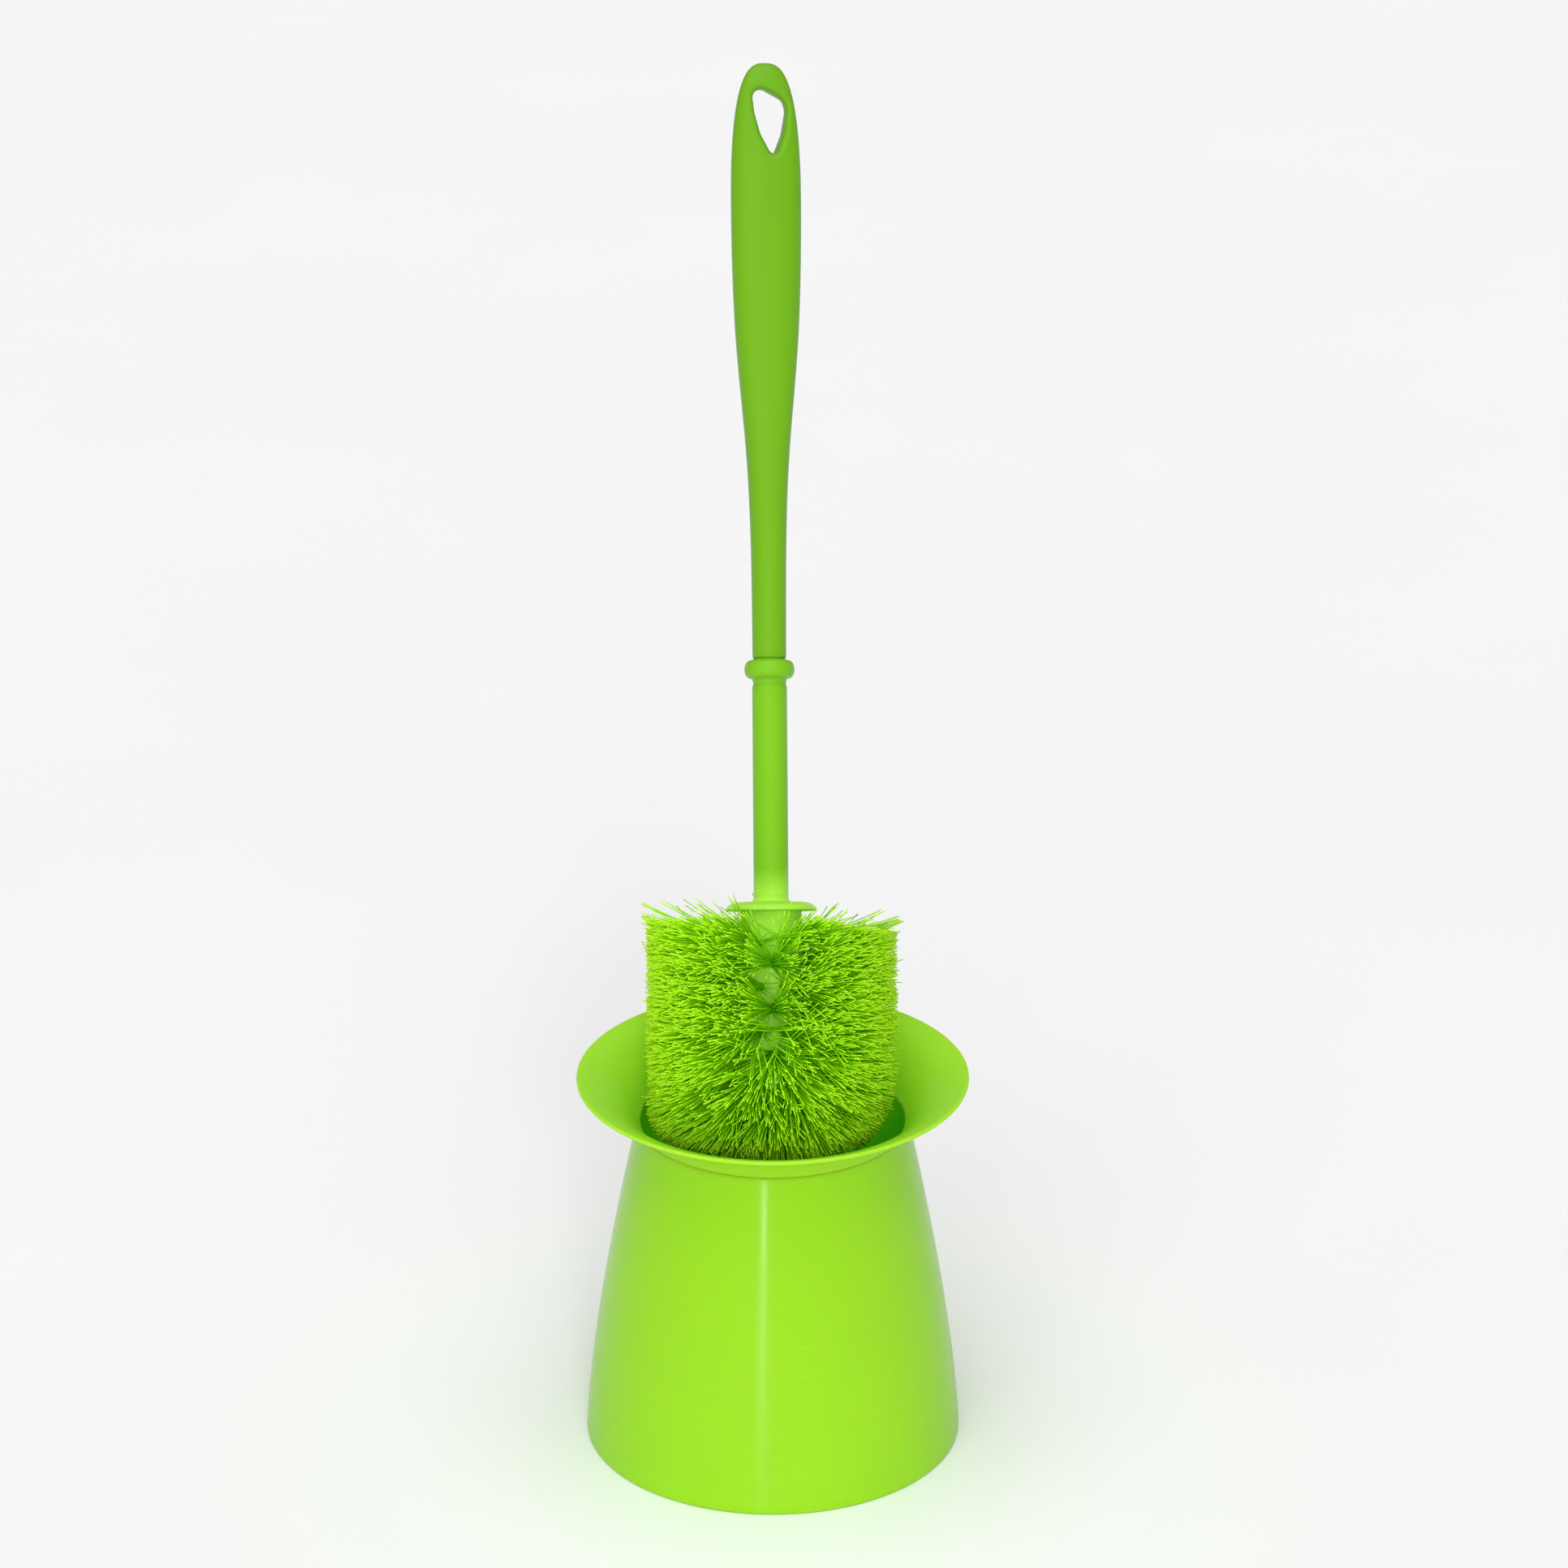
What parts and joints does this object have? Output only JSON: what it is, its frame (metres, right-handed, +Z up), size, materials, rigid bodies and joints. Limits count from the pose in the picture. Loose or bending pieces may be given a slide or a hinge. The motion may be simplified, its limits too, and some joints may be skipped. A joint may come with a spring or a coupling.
{
  "type": "toilet brush holder",
  "caption": "Toilet brush with a round bristle head and a slim swelling grip, leaning in a waisted holder with a wide flared brim.",
  "frame": {"origin": "centre of the holder's base, on the floor it stands on", "axes": "+Z up along the holder's axis, +Y the way the brush leans, +X to the right seen from the front"},
  "size_m": [0.1288, 0.2158, 0.4293],
  "materials": {
    "shell_plastic": "glossy moulded lime polypropylene",
    "stem_plastic": "glossy moulded lime polypropylene",
    "grip_plastic": "satin-gloss moulded green polypropylene",
    "bristle": "fine crimped lime filaments with paler cut tips",
    "anchor_wire": "flat drawn wire"
  },
  "bodies": {
    "holder": {"holder_shell": "shell_plastic", "base_plate": "shell_plastic"},
    "brush": {"brush_stem": "stem_plastic", "grip": "grip_plastic", "tufts_ring_1": "bristle", "tufts_ring_2": "bristle", "tufts_ring_3": "bristle", "tufts_ring_4": "bristle", "tufts_ring_5": "bristle", "tufts_ring_6": "bristle", "tufts_ring_7": "bristle", "tufts_end_outer": "bristle", "tufts_end_tip": "bristle", "anchors_ring_1": "anchor_wire", "anchors_ring_2": "anchor_wire", "anchors_ring_3": "anchor_wire", "anchors_ring_4": "anchor_wire", "anchors_ring_5": "anchor_wire", "anchors_ring_6": "anchor_wire", "anchors_ring_7": "anchor_wire", "anchors_end_outer": "anchor_wire", "anchors_end_tip": "anchor_wire"}
  },
  "joints": [
    {"name": "brush_lift", "type": "slide", "parent": "holder", "child": "brush", "axis": [0, 0.4305, 0.9026], "range_m": [0, 0.12]}
  ]
}
